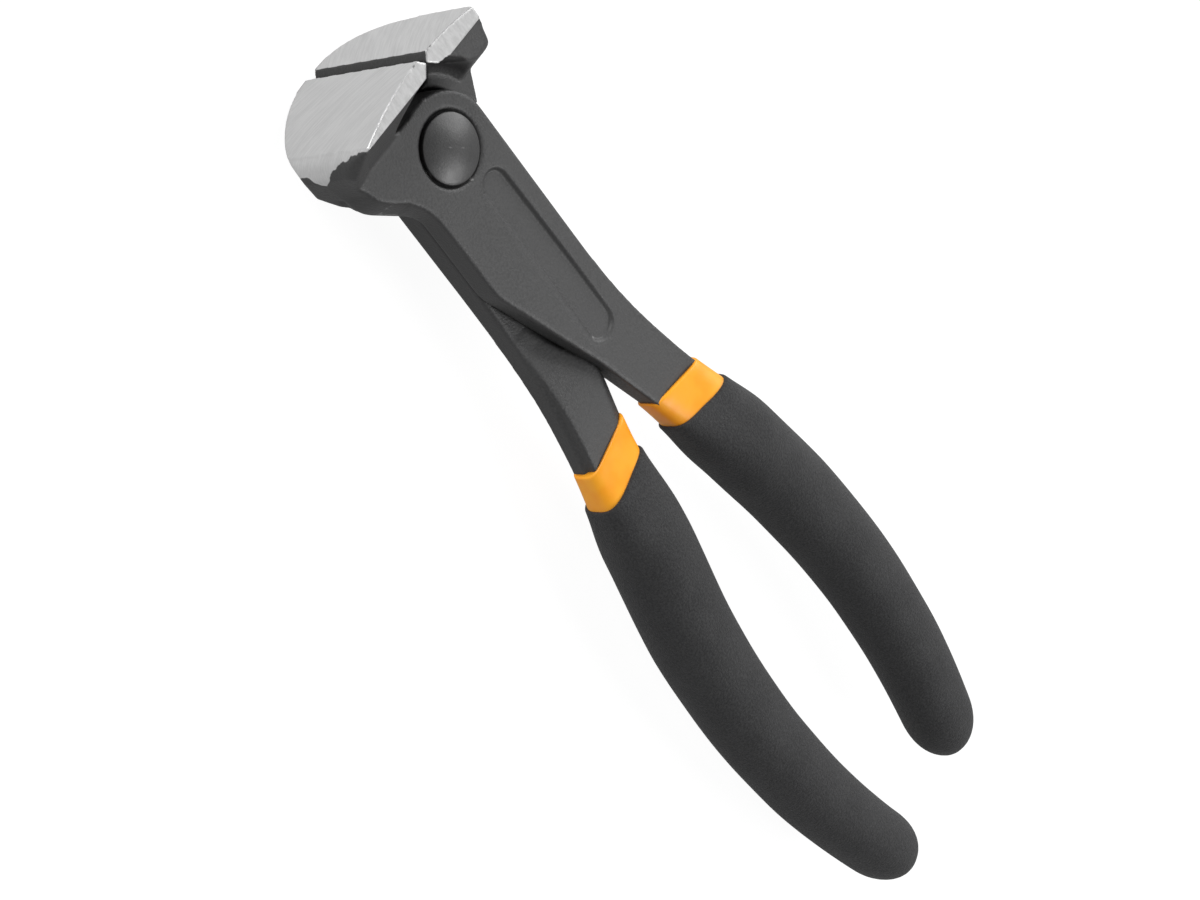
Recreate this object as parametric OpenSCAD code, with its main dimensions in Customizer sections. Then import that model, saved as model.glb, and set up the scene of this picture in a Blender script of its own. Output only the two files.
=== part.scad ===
// End cutting nippers: two forged halves lapped on one domed rivet, with twice-dipped grips.
// +Y runs from the handles to the cutting edges and +Z along the rivet, towards its domed head.
// The nippers lie on the back of the jaws, with the origin under the middle of their outline.
// A half is drawn about the rivet axis with its outer face up, its jaw at -X and its arm at +X.
// The rear half is drawn the same way and then turned over.

/* [Overall] */
// Length from the crown of the jaws to the end of the longer handle
overall_len = 202.8; // [198:0.5:206]
// How much further the rear handle reaches than the front one
rear_extra = 5; // [0:0.5:6]

/* [Jaws] */
// Width of the jaws along the rivet axis, which is the length of the cutting edges
jaw_w = 32; // [29:0.1:34]
// How far the middle of the jaws lies from the lap plane, towards the rivet's domed head
jaw_shift = -0.45; // [-1:0.05:1]
// Distance from the rivet axis to the crown of the ground end faces
head_reach = 20.6; // [20:0.1:22]
// Depth of the cutting edges behind the crown
edge_drop = 1.55; // [1.3:0.05:1.8]
// Radius of the barrel that the end faces are ground to
crown_r = 62; // [50:1:80]
// Half width of the front half's jaw, from the cutting edge to its side
front_span = 20.4; // [19:0.2:21]
// Half width of the rear half's jaw, from the cutting edge to its side
rear_span = 15.1; // [14:0.1:16]
// Width of the bright flat along each end of the jaws
strip_w = 3.4; // [2.6:0.1:4]

/* [Joint] */
// Thickness of each half where the two lap on the rivet
plate_t = 5.6; // [5:0.1:6.4]
// Radius of the boss round the rivet
boss_r = 10.2; // [9.6:0.1:10.6]
// Radius of the rivet's shank
pin_r = 4; // [3:0.1:5]
// Radius of the rivet's domed head
head_r = 6.4; // [5.6:0.1:7]
// Height of the rivet's dome above the boss
dome_h = 1.6; // [1:0.1:2.4]
// Angle to which the front half opens from the rear one
open_angle = 30; // [20:1:32]

/* [Arms and handles] */
// Width of an arm where it enters its collar
neck_w = 10.4; // [9:0.2:11]
// Thickness of an arm where it enters its collar
neck_t = 9.2; // [8:0.2:10]
// Distance from the rivet axis to the start of the coloured collar
collar_y = 64.5; // [62:0.5:68]
// Length of coloured collar that the black dip leaves bare
collar_l = 7.5; // [5:0.5:10]
// Greatest distance of a handle's centre line from the middle
bow_x = 20.1; // [19:0.1:22]
// Distance from the widest place of the handles to the end of the longer one
tail_l = 52.5; // [48:1:56]
// Radius of the handles' outward bow
bow_r = 156; // [140:1:180]
// Half width of a grip at its fullest
grip_r = 8.6; // [8:0.1:9]
// Thickness of the coloured first dip
liner_t = 1.3; // [1:0.1:1.6]
// Thickness of the black second dip
skin_t = 1.1; // [0.8:0.1:1.4]

/* [Hidden] */
$fn = 96;

// Clearances: between the lapped plates, round the shank, round a boss, and at the closed edges
lap_gap = 0.1;
pin_gap = 0.05;
press = 0.01;
boss_gap = 0.35;
edge_gap = 0.1;
// How far a cut runs past what it cuts
over = 1;

// Cutting edges, the groove in front of them and the bevel behind them
edge_y = head_reach - edge_drop;
groove_half = 1.35;
bevel_y = head_reach - strip_w;
bevel_x = edge_y - bevel_y;
// Lean of the ground end, which falls away towards the back of the jaws, and its fall
edge_lean = 3.2;
end_fall = jaw_w * tan(edge_lean);
// Hollow behind the cutting edges
hollow_x = 7.7;
hollow_top = 4;
hollow_r = 3;
hollow_foot_r = 2;
heel_x = 2.4;
heel_y = 0.5;
heel_r = 2;
root_x = 6.6;
root_y = 9.9;
// How far a jaw's side leans out below its ground corner
side_lean = 1;
cheek_y = 13.5;
cheek_sink = 0.8;
cheek_in = 0.25;

// Outline of one lapped plate: its shoulder as x, y, its rounding and that of the ground corner above it,
// its waist, and its slanting inner edge
front_shoulder = [20, 3.5, 8, 4];
rear_shoulder = [17.6, 6.3, 4.5, 2.2];
waist_x = 10.6;
waist_y = 6;
waist_r = 7;
hip_y = 26;
boss_turn = 104;
hip_r = 10;
cross_x = 0.5;
cross_y = 50.5;
cross_r = 30;
flare_y = 34;
flare_r = 112;
// Draft of the forged sides
draft = 0.45;
// Wall that rises from the outer face to the jaw's end
wall_foot_y = 9.4;
wall_root_r = 3;
// Web and claw on the far side of the jaw
jaw_foot_y = 8;
web_t = 1.5;
back_flat = 3;
front_round = 1.6;
rear_round = 2.3;
back_lean = 2.7;
jaw_front = jaw_w / 2 + jaw_shift;
jaw_back = jaw_w / 2 - jaw_shift;
claw_r = 14.6;
room_bevel = 1.5;
claw_tip_y = 10.9;
claw_lean = 1.8;
claw_fall_share = 1.5;
claw_root_y = 4.5;
claw_tip_r = 1.2;
claw_side_r = 3;
// Sunk panel with round ends in the outer face of the front arm
panel_r = 3.1;
panel_top = 11.6;
panel_end = 45.4;
panel_x = 3;
panel_lean = 0.7;
panel_deep = 0.35;
// Seat sunk in the outer face for the rivet's head
seat_gap = 0.5;
seat_deep = 0.8;
tail_head_share = 0.92;
tail_dome_share = 0.6;
// Keel that thickens an arm once it has passed the other
keel_y = 37;
keel_end = 60;
keel_gap = 0.5;
keel_bevel = 1.9;

// Handles: a straight splay runs from the collar into the bow, and the tail is rounded
tip_l = 10.5;
tail_turn = 0.2;
tail_power = 2.2;
collar_half_share = 0.8;
collar_flat_share = 0.92;
end_half_share = 0.8;
swell_l = 26;
settle_l = 50;
lip = 0.5;
boxy = 4;
oval = 2.15;
sides = 24;
tang_inset = 0.35;
tang_root = 2;
rear_reach = overall_len - head_reach;
front_reach = rear_reach - rear_extra;

steel = [0.30, 0.30, 0.31];
orange = [1.0, 0.66, 0.13];
black = [0.17, 0.17, 0.18];

// Points of an arc about c, in n equal steps
function arc(c, r, a0, a1, n) =
    [for (i = [0:n]) c + r * [cos(a0 + (a1 - a0) * i / n), sin(a0 + (a1 - a0) * i / n)]];

// Turns corner b of the path a, b, c into a round of radius r
function round_corner(a, b, c, r, n) =
    let (u = (a - b) / norm(a - b), v = (c - b) / norm(c - b),
         half = acos(u * v) / 2, d = r / tan(half), m = (u + v) / norm(u + v),
         o = b + m * r / sin(half), p = b + u * d, q = b + v * d,
         a0 = atan2(p[1] - o[1], p[0] - o[0]), turn = atan2(q[1] - o[1], q[0] - o[0]) - a0,
         sweep = turn > 180 ? turn - 360 : turn < -180 ? turn + 360 : turn)
    arc(o, r, a0, a0 + sweep, n);

// Closed outline through [x, y, radius] corners; a radius of zero keeps the corner sharp
function rounded(k, n = 6) =
    [for (i = [0:len(k) - 1])
        let (a = k[(i + len(k) - 1) % len(k)], b = k[i], c = k[(i + 1) % len(k)])
        for (p = b[2] > 0 ? round_corner([a[0], a[1]], [b[0], b[1]], [c[0], c[1]], b[2], n)
                          : [[b[0], b[1]]]) p];

// Corners without rounding, from a list of points
function sharp(p) = [for (q = p) [q[0], q[1], 0]];

// The same anticlockwise outline moved inwards by d
function inset(p, d) =
    [for (i = [0:len(p) - 1])
        let (a = p[(i + len(p) - 1) % len(p)], b = p[i], c = p[(i + 1) % len(p)],
             u = (b - a) / norm(b - a), v = (c - b) / norm(c - b), w = (u + v) / norm(u + v))
        b + [-w[1], w[0]] * d / max(w * u, 0.5)];

// Smooth step from 0 to 1
function ease(t) = let (u = min(max(t, 0), 1)) u * u * (3 - 2 * u);

// Solid through a stack of rings that all have the same number of points
module loft(rings) {
    n = len(rings[0]);
    m = len(rings);
    walls = [for (j = [0:m - 2]) for (i = [0:n - 1])
        let (k = (i + 1) % n)
        for (f = [[j * n + i, (j + 1) * n + k, j * n + k],
                  [j * n + i, (j + 1) * n + i, (j + 1) * n + k]]) f];
    polyhedron([for (r = rings) for (p = r) p],
               concat([[for (i = [0:n - 1]) i]], [[for (i = [n - 1:-1:0]) (m - 1) * n + i]], walls));
}

// Outer edge of an arm, which flares away from the straight below the boss
function arm_out(y) =
    let (t = max(y - flare_y, 0)) boss_r + flare_r - sqrt(flare_r * flare_r - t * t);
neck_in = arm_out(collar_y) - neck_w;

// The bow's centre, and the splay that runs from the collar to touch the bow
bow_y = rear_reach - tail_l;
bow_c = [bow_x - bow_r, -bow_y];
neck_to_bow = bow_c - [neck_in + neck_w / 2, -collar_y];
splay = asin(bow_r / norm(neck_to_bow)) + atan2(neck_to_bow[0], -neck_to_bow[1]);
splay_l = sqrt(neck_to_bow * neck_to_bow - bow_r * bow_r);

// Inner edge of an arm, which slants across the middle to the collar
function arm_in(y) =
    y < cross_y ? -waist_x + (waist_x - cross_x) * max(y - hip_y, 0) / (cross_y - hip_y)
                : -cross_x + (neck_in + cross_x) * (y - cross_y) / (collar_y - cross_y);

// Outline of a lapped plate, anticlockwise from the right of the boss
function plate(span, shoulder) = rounded(concat(
    sharp(arc([0, 0], boss_r, 0, boss_turn, 20)),
    [[-hollow_x, root_y, hollow_foot_r], [-hollow_x, cheek_y - cheek_sink, 0],
     [cheek_in - cheek_x(span, shoulder), cheek_y - cheek_sink, 0],
     [-shoulder[0], jaw_foot_y, 0], [-shoulder[0], shoulder[1], shoulder[2]],
     [-waist_x, -waist_y, waist_r], [-waist_x, -hip_y, hip_r],
     [-cross_x, -cross_y, cross_r], [neck_in, -collar_y, 0]],
    sharp([for (i = [0:6]) let (y = collar_y + (flare_y - collar_y) * i / 6) [arm_out(y), -y]])));

// Half width of a jaw where its side turns down to the shoulder
function cheek_x(span, shoulder) = max(span + side_lean, (shoulder[0] + span) / 2);

// Height of the barrel-ground end face at a distance x from the middle
function crown(x) = head_reach - crown_r + sqrt(crown_r * crown_r - x * x);

// Jaw seen along the rivet: its ground end, its side down to the shoulder, and its hollow
function jaw_plan(span, shoulder) = rounded(concat(
    [[-edge_gap / 2, edge_y, 0]],
    sharp([for (i = [0:8]) let (x = groove_half + (span - shoulder[3] - groove_half) * i / 8) [-x, crown(x)]]),
    [[-span, crown(span), shoulder[3]], [-cheek_x(span, shoulder), cheek_y, 0],
     [-shoulder[0], jaw_foot_y, 0], [-shoulder[0], claw_root_y, claw_side_r], [-boss_r, claw_root_y, 0],
     [-root_x, root_y, 0],
     [-hollow_x, root_y + over, 0], [-hollow_x, bevel_y - hollow_top, hollow_r],
     [-bevel_x - heel_x, bevel_y - heel_y, heel_r],
     [-bevel_x, bevel_y, 0]]));

// Rounded back corner of a jaw, from its small rest flat round to its side
function back_corner(wide, side, e) =
    [for (i = [0:12]) let (t = 90 - 90 * i / 12)
        [-back_flat - (wide - back_flat) * pow(cos(t), 2 / e), side * jaw_back * pow(sin(t), 2 / e)]];

// Jaw seen against its end: square towards the domed head of the rivet, rounded at the back
front_end = concat(
    [[0, jaw_front], [side_lean - front_span, jaw_front], [-front_span - side_lean, jaw_front / 2]],
    [for (i = [12:-1:0]) back_corner(front_span + back_lean, -1, front_round)[i]], [[0, -jaw_back]]);
rear_end = concat(
    [[0, jaw_back]], back_corner(rear_span - side_lean, 1, rear_round),
    [[-rear_shoulder[0], 0], [-rear_shoulder[0], -web_t],
     [side_lean - rear_span, -jaw_front], [0, -jaw_front]]);

// Jaw seen from its side: the wall above the outer face, and the claw that hangs over the far one
function side_view(top, foot, top_fall, foot_fall) = rounded([
    [head_reach + over, top, 0], [bevel_y - top_fall, top, 0], [wall_foot_y, plate_t - draft, wall_root_r],
    [jaw_foot_y - over, plate_t - draft, 0], [jaw_foot_y - over, -web_t, 0], [claw_root_y, -web_t, 0],
    [claw_tip_y, claw_lean + claw_fall_share * foot_fall - foot, claw_tip_r], [bevel_y - foot_fall, -foot, 0],
    [head_reach + over, -foot, 0]]);

// The near end is the one by the rivet's domed head, at near in the half's own frame
module jaw(span, shoulder, end_view, top, foot, near) {
    lean = near > 0 ? -edge_lean : edge_lean;
    intersection() {
        translate([0, head_reach, near]) rotate([lean, 0, 0]) translate([0, -head_reach, -jaw_w - over])
            linear_extrude(2 * (jaw_w + over)) polygon(jaw_plan(span, shoulder));
        translate([0, head_reach + over, 0]) rotate([90, 0, 0]) linear_extrude(head_reach + over) polygon(end_view);
        translate([-front_span - 2 * over, 0, 0]) rotate([90, 0, 90]) linear_extrude(front_span + 3 * over)
            polygon(side_view(top, foot, near > 0 ? 0 : end_fall, near > 0 ? end_fall : 0));
    }
}

// Room that the other half sweeps through on the far side, from shut to fully open
module mate_room() {
    r = boss_r + boss_gap;
    translate([0, 0, -plate_t - boss_gap]) {
        cylinder(h = plate_t + boss_gap + lap_gap / 2, r = r);
        for (a = [0, -open_angle]) rotate([0, 0, a]) translate([-r, -3 * boss_r, 0])
            cube([2 * r, 3 * boss_r, plate_t + boss_gap + lap_gap / 2]);
    }
    translate([0, 0, -jaw_w]) cylinder(h = jaw_w - web_t - room_bevel, r = claw_r);
    translate([0, 0, -web_t - room_bevel])
        cylinder(h = room_bevel, r1 = claw_r, r2 = claw_r - room_bevel);
}

// Far side of the arm below the crossing, where it thickens towards the tang
keel_ys = [for (i = [0:8]) keel_y + (collar_y - keel_y) * i / 8];
function keel_in(y) = max(arm_in(y), keel_gap - arm_in(y));
function keel_z(y) = -(neck_t - plate_t) * ease((y - keel_y) / (keel_end - keel_y));
module keel() {
    run = [neck_in + cross_x, cross_y - collar_y];
    difference() {
        keel_block();
        translate([-cross_x, -cross_y, plate_t - neck_t]) rotate([90, 0, atan2(run[0], -run[1])])
            linear_extrude(norm(run) + over)
                polygon([[-over, -over], [keel_bevel + over, -over], [-over, keel_bevel + over]]);
    }
}
module keel_block() {
    intersection() {
        translate([0, 0, -neck_t]) linear_extrude(neck_t + draft) polygon(concat(
            [for (y = keel_ys) [keel_in(y), -y]], [for (i = [8:-1:0]) [arm_out(keel_ys[i]) - draft, -keel_ys[i]]]));
        rotate([90, 0, 90]) linear_extrude(3 * boss_r) polygon(concat(
            [[-collar_y, draft], [-collar_y, keel_z(collar_y)]],
            [for (i = [7:-1:0]) [-keel_ys[i], keel_z(keel_ys[i]) - lap_gap]], [[-keel_y, draft]]));
    }
}

// Round-ended outline from p to q
function slot(p, q, r) = let (t = atan2(q[1] - p[1], q[0] - p[0]))
    concat(arc(p, r, t + 90, t + 270, 12), arc(q, r, t - 90, t + 90, 12));

// Place on a handle's centre line at a distance s from the collar, and its heading from -Y
function heading(s) = s < splay_l ? splay : splay - (s - splay_l) / bow_r * 180 / PI;
function handle_at(s) =
    let (h = heading(s))
    s < splay_l ? bow_c + bow_r * [cos(splay), sin(splay)] - (splay_l - s) * [sin(splay), -cos(splay)]
                : bow_c + bow_r * [cos(h), sin(h)];
// Length of a handle that ends at a distance reach behind the rivet axis
function handle_l(reach) =
    splay_l + bow_r * (splay + asin((reach - tail_turn - bow_y) / bow_r)) * PI / 180;

// Half width of the outer skin, and its rounding towards the tip
function half_w(s, l) = s < swell_l
    ? grip_r * (collar_half_share + (1 - collar_half_share) * ease(s / swell_l))
    : grip_r * (1 - (1 - end_half_share) * pow((s - swell_l) / (l - swell_l), 1.5));
function tip_round(s, l, d) =
    let (u = min(max((s - l + tip_l) / (tip_l - d), 0), 1)) pow(1 - pow(u, tail_power), 1 / 2);
function power(x, e) = sign(x) * pow(abs(x), e);

// Ring of a handle shell at s, a depth d inside the outer skin
function handle_ring(s, l, d) =
    let (p = handle_at(s), k = ease(s / swell_l), e = boxy + (oval - boxy) * k,
         h = heading(s) - splay * (1 - k),
         w = (half_w(s, l) - d) * tip_round(s, l, d),
         t = (half_w(s, l) * (collar_flat_share + (1 - collar_flat_share) * k) - d) * tip_round(s, l, d),
         z = (plate_t - neck_t / 2) * (1 - ease(s / settle_l)))
    [for (i = [0:sides - 1]) let (a = 360 * i / sides, x = w * power(cos(a), 2 / e))
        [p[0] + x * cos(h), p[1] + x * sin(h), z + t * power(sin(a), 2 / e)]];

// Shell of a handle from s0 to its rounded tip, a depth d inside the outer skin
module handle_shell(reach, s0, d, lip_in) {
    l = handle_l(reach);
    body = l - tip_l;
    loft(concat(
        [handle_ring(s0, l, d + lip_in)],
        [for (i = [0:14]) let (s = s0 + lip + (body - s0 - lip) * i / 14) handle_ring(s, l, d)],
        [for (i = [1:7]) let (s = body + (tip_l - d) * sin(90 * i / 7.4)) handle_ring(s, l, d)]));
}

// Steel inside a handle, from just within the arm to the tip
module tang(reach) {
    handle_shell(reach, -tang_root, skin_t + liner_t, tang_inset);
}

// First dip, which shows as the collar and lines the grip
module liner(reach) {
    difference() {
        handle_shell(reach, 0, skin_t, lip);
        tang(reach);
    }
}

// Second dip over the first, thick and soft
module grip(reach) {
    difference() {
        handle_shell(reach, collar_l, 0, lip);
        handle_shell(reach, 0, skin_t, lip);
    }
}

// One forged half, its outer face up
module half(span, shoulder, end_view, top, foot, near, reach, bore) {
    difference() {
        union() {
            translate([0, 0, lap_gap / 2]) linear_extrude(plate_t - lap_gap / 2)
                polygon(plate(span, shoulder));
            difference() {
                union() {
                    translate([0, 0, -web_t]) linear_extrude(web_t + lap_gap)
                        polygon(inset(plate(span, shoulder), draft));
                    jaw(span, shoulder, end_view, top, foot, near);
                }
                mate_room();
                translate([-collar_y, -collar_y - waist_y, -web_t - over])
                    cube([2 * collar_y, collar_y, web_t + over + lap_gap / 2]);
            }
            keel();
            tang(reach);
        }
        translate([0, 0, -jaw_w]) cylinder(h = 2 * jaw_w, r = bore);
        translate([0, 0, plate_t - seat_deep]) cylinder(h = jaw_w, r = head_r + seat_gap);
    }
}

// Puts what is drawn about the rivet axis where the lying nippers have it
module place() {
    translate([0, overall_len / 2 - head_reach, jaw_back]) children();
}
module place_turned() {
    place() rotate([0, 180, 0]) children();
}

// Profile of a rivet head whose dome rises from its rim, as [r, z] points
function dome(r, h, z) = let (s = (r * r + h * h) / (2 * h), a = asin(r / s))
    [for (i = [0:10]) let (t = a * (10 - i) / 10) [s * sin(t), z + h - s + s * cos(t)]];

module rivet() {
    top = concat([[pin_r, plate_t - seat_deep + pin_gap], [head_r, plate_t - seat_deep + pin_gap]],
                 dome(head_r, dome_h, plate_t));
    tail = [for (p = dome(head_r * tail_head_share, dome_h * tail_dome_share, plate_t)) [p[0], -p[1]]];
    rotate_extrude() polygon(concat(
        [for (i = [10:-1:0]) tail[i]],
        [[head_r * tail_head_share, seat_deep - plate_t], [pin_r, seat_deep - plate_t]], top));
}

module front_half() {
    color(steel) place() difference() {
        half(front_span, front_shoulder, front_end, jaw_front, jaw_back, jaw_front, front_reach,
             pin_r + pin_gap);
        translate([0, 0, plate_t - panel_deep]) linear_extrude(panel_deep + over)
            polygon(slot([panel_x, -panel_top], [panel_x + panel_lean, -panel_end], panel_r));
    }
}

module rear_half() {
    color(steel) place_turned()
        half(rear_span, rear_shoulder, rear_end, jaw_back, jaw_front, -jaw_front, rear_reach, pin_r - press);
}

module pivot_rivet() {
    color(steel) place() rivet();
}

module front_grip_liner() {
    color(orange) place() liner(front_reach);
}

module front_grip() {
    color(black) place() grip(front_reach);
}

module rear_grip_liner() {
    color(orange) place_turned() liner(rear_reach);
}

module rear_grip() {
    color(black) place_turned() grip(rear_reach);
}

front_half();
rear_half();
pivot_rivet();
front_grip_liner();
front_grip();
rear_grip_liner();
rear_grip();
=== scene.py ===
"""End cutting nippers: black forged halves with ground jaws, a domed rivet and twice-dipped handles."""
import math

import bmesh
import bpy
import numpy as np
from mathutils import Matrix, Vector, noise


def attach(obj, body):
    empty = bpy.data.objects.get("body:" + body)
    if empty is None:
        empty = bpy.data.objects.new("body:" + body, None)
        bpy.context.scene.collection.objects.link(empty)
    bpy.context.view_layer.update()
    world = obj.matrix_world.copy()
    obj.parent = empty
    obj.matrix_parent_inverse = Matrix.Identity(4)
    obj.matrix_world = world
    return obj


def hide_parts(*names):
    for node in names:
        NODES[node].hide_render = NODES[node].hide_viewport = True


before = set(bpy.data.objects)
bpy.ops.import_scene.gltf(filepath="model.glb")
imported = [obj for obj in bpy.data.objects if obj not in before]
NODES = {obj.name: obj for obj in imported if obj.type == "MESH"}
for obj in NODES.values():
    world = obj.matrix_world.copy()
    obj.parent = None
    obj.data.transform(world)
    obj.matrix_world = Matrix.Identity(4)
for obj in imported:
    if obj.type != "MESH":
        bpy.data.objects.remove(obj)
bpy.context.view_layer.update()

MM = 0.001
# Rivet axis in the lap plane: both halves are described about it, in millimetres, with the front
# half's jaw at -X and its arm at +X. The rear half is the same turned over, so its X and Z change sign.
PIVOT = Vector((0.0, 80.8, 16.45)) * MM
# Reach of the ground end above the rivet, and the radius that it is ground to
HEAD_REACH, CROWN_R = 20.6, 62.0
# Near and far ends of the jaws from the lap plane, and the lean of the ground end between them
NEAR_END, FAR_END = 15.55, -16.45
LEAN = math.tan(math.radians(3.2))
# Cutting edges to the outer side of each jaw
FRONT_SPAN, REAR_SPAN = 20.4, 15.1
# Outer face of the front plate above the lap plane
PLATE = 5.6
# Tails of the handles below the rivet
FRONT_REACH, REAR_REACH = 177.2, 182.2


# ---------------------------------------------------------------------------
# Camera
# ---------------------------------------------------------------------------

def photo_camera():
    """Camera at the photograph's place: long lens, from above the head and the left."""
    # Place about the rivet and axes from the camera fit, with the small nod of its last round
    nod = Matrix.Rotation(-0.0035, 3, "X")
    right, down, ahead = (nod @ Vector(axis) for axis in (
        (0.51974, -0.52976, 0.67024), (-0.72621, -0.68718, 0.01999), (0.44998, -0.49713, -0.74188)))
    eye = nod @ (Vector((-289.32, 243.63, 460.74)) * MM) + PIVOT
    data = bpy.data.cameras.new("photo_camera")
    data.lens = 102.86
    data.sensor_width = 36.0
    data.clip_start = 0.01
    camera = bpy.data.objects.new("photo_camera", data)
    columns = (right.normalized(), -down.normalized(), -ahead.normalized(), eye)
    camera.matrix_world = Matrix([[c[row] for c in columns] for row in range(3)] + [[0, 0, 0, 1]])
    bpy.context.scene.collection.objects.link(camera)
    bpy.context.scene.camera = camera


# ---------------------------------------------------------------------------
# Shader building
# ---------------------------------------------------------------------------

def add(tree, kind, **settings):
    """New node, with the node's own settings given by name."""
    node = tree.nodes.new(kind)
    for name, value in settings.items():
        setattr(node, name, value)
    return node


def feed(tree, socket, value):
    """Links value to the socket, or sets it there where it is a number, a vector or a colour."""
    if isinstance(value, bpy.types.NodeSocket):
        tree.links.new(value, socket)
    elif isinstance(value, tuple) and len(value) < len(socket.default_value):
        socket.default_value = (*value, 1.0)
    else:
        socket.default_value = value


def math_node(tree, operation, first, second=None, clamp=False):
    node = add(tree, "ShaderNodeMath", operation=operation, use_clamp=clamp)
    feed(tree, node.inputs[0], first)
    if second is not None:
        feed(tree, node.inputs[1], second)
    return node.outputs[0]


def ramp(tree, value, low, high, to_low=0.0, to_high=1.0, smooth=True):
    """Maps value from low..high to to_low..to_high, and holds the ends."""
    node = add(tree, "ShaderNodeMapRange", clamp=True,
               interpolation_type="SMOOTHSTEP" if smooth else "LINEAR")
    for name, number in (("Value", value), ("From Min", low), ("From Max", high),
                         ("To Min", to_low), ("To Max", to_high)):
        feed(tree, node.inputs[name], number)
    return node.outputs["Result"]


def mix_colour(tree, factor, first, second):
    node = add(tree, "ShaderNodeMix", data_type="RGBA")
    for place, value in ((0, factor), (6, first), (7, second)):
        feed(tree, node.inputs[place], value)
    return node.outputs[2]


def mix_value(tree, factor, first, second):
    node = add(tree, "ShaderNodeMix", data_type="FLOAT")
    for place, value in ((0, factor), (2, first), (3, second)):
        feed(tree, node.inputs[place], value)
    return node.outputs[0]


def coat(tree, under, over, mask, share):
    """Colour over laid on colour under where the mask is full, as thickly as share says."""
    return mix_colour(tree, math_node(tree, "MULTIPLY", mask, share), under, over)


def noise_node(tree, position, size, detail, roughness=0.5):
    """Noise whose lumps have the given size, a number or a socket."""
    node = add(tree, "ShaderNodeTexNoise", noise_dimensions="3D")
    feed(tree, node.inputs["Vector"], position)
    feed(tree, node.inputs["Scale"], math_node(tree, "DIVIDE", 1.0, size))
    feed(tree, node.inputs["Detail"], detail)
    feed(tree, node.inputs["Roughness"], roughness)
    return node.outputs["Fac"]


def bump(tree, height, distance_mm, strength, onto=None):
    node = add(tree, "ShaderNodeBump")
    node.inputs["Distance"].default_value = distance_mm * MM
    node.inputs["Strength"].default_value = strength
    tree.links.new(height, node.inputs["Height"])
    if onto is not None:
        tree.links.new(onto, node.inputs["Normal"])
    return node.outputs[0]


def new_group(name, inputs, outputs):
    """Shader group with named value or vector sockets, its input and output nodes made."""
    group = bpy.data.node_groups.new(name, "ShaderNodeTree")
    kinds = {"value": "NodeSocketFloat", "vector": "NodeSocketVector"}
    for label, kind, default in inputs:
        socket = group.interface.new_socket(name=label, in_out="INPUT", socket_type=kinds[kind])
        if default is not None:
            socket.default_value = default
    for label, kind in outputs:
        group.interface.new_socket(name=label, in_out="OUTPUT", socket_type=kinds[kind])
    return group, group.nodes.new("NodeGroupInput"), group.nodes.new("NodeGroupOutput")


def put_out(group, end, **values):
    """Links values to the group's outputs by name."""
    for name, value in values.items():
        group.links.new(value, end.inputs[name])


def place_group(tree, group, **values):
    """The group in a material, with its inputs set or linked by name (spaces written as _)."""
    node = tree.nodes.new("ShaderNodeGroup")
    node.node_tree = group
    for name, value in values.items():
        feed(tree, node.inputs[name.replace("_", " ")], value)
    return node


def new_material(name):
    material = bpy.data.materials.new(name)
    material.use_nodes = True
    tree = material.node_tree
    return material, tree, tree.nodes["Principled BSDF"]


def finish_surface(tree, surface, colour, roughness, normal, specular):
    """What every finish of the nippers sets on its shader."""
    tree.links.new(colour, surface.inputs["Base Color"])
    tree.links.new(roughness, surface.inputs["Roughness"])
    tree.links.new(normal, surface.inputs["Normal"])
    surface.inputs["Specular IOR Level"].default_value = specular


# ---------------------------------------------------------------------------
# Effects that several finishes share
# ---------------------------------------------------------------------------

# Parts of a noise's spread that are stretched to 0..1
WIDE_SPREAD, TONE_SPREAD, PATCH_SPREAD, CHIP_SPREAD = (0.3, 0.7), (0.35, 0.75), (0.35, 0.65), (0.42, 0.62)


def grain_group():
    """Fine grain of a forged, turned or dipped skin: its height, a tone that follows it, and broad patches."""
    group, start, end = new_group(
        "fine_grain",
        [("Position", "vector", None), ("Grain Size", "value", 0.5), ("Patch Size", "value", 6.0)],
        [("Height", "value"), ("Tone", "value"), ("Patch", "value")])
    position = start.outputs["Position"]
    fine = noise_node(group, position, start.outputs["Grain Size"], detail=3.0, roughness=0.6)
    patch = noise_node(group, position, start.outputs["Patch Size"], detail=2.0)
    put_out(group, end, Height=ramp(group, fine, *WIDE_SPREAD), Tone=ramp(group, fine, *TONE_SPREAD),
            Patch=ramp(group, patch, *PATCH_SPREAD))
    return group


def brushed_group():
    """Grinding marks that run one way over a face, turned about Y: their height and tone."""
    group, start, end = new_group(
        "grinding_marks",
        [("Position", "vector", None), ("Turn", "value", 0.6), ("Stretch", "vector", (0.02, 1.0, 1.0)),
         ("Mark Width", "value", 0.12)],
        [("Height", "value"), ("Tone", "value")])
    turned = add(group, "ShaderNodeVectorRotate", rotation_type="Y_AXIS")
    group.links.new(start.outputs["Position"], turned.inputs["Vector"])
    group.links.new(start.outputs["Turn"], turned.inputs["Angle"])
    stretched = add(group, "ShaderNodeVectorMath", operation="MULTIPLY")
    group.links.new(turned.outputs[0], stretched.inputs[0])
    group.links.new(start.outputs["Stretch"], stretched.inputs[1])
    marks = noise_node(group, stretched.outputs[0], start.outputs["Mark Width"], detail=4.0, roughness=0.7)
    put_out(group, end, Height=marks, Tone=ramp(group, marks, *WIDE_SPREAD))
    return group


# Where each mask of the ground steel starts and where it is full, in millimetres
BARREL_DEPTH = (0.32, 0.22)     # below the barrel that the end is ground to
SIDE_REACH = (-4.6, -4.0)       # outwards from the jaw's side, below 0 while still inside it
SIDE_EDGE = (-0.1, 0.1)         # above the ragged lower edge on the side
FLAT_DEPTH = (0.2, 0.1)         # inside the plane of a bright flat
FLAT_FOOT = (15.0, 15.2)        # above the rivet
GROOVE_HALF = (1.36, 1.26)      # out from the cutting edges
GROOVE_FOOT = (18.6, 18.9)      # above the rivet
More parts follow.
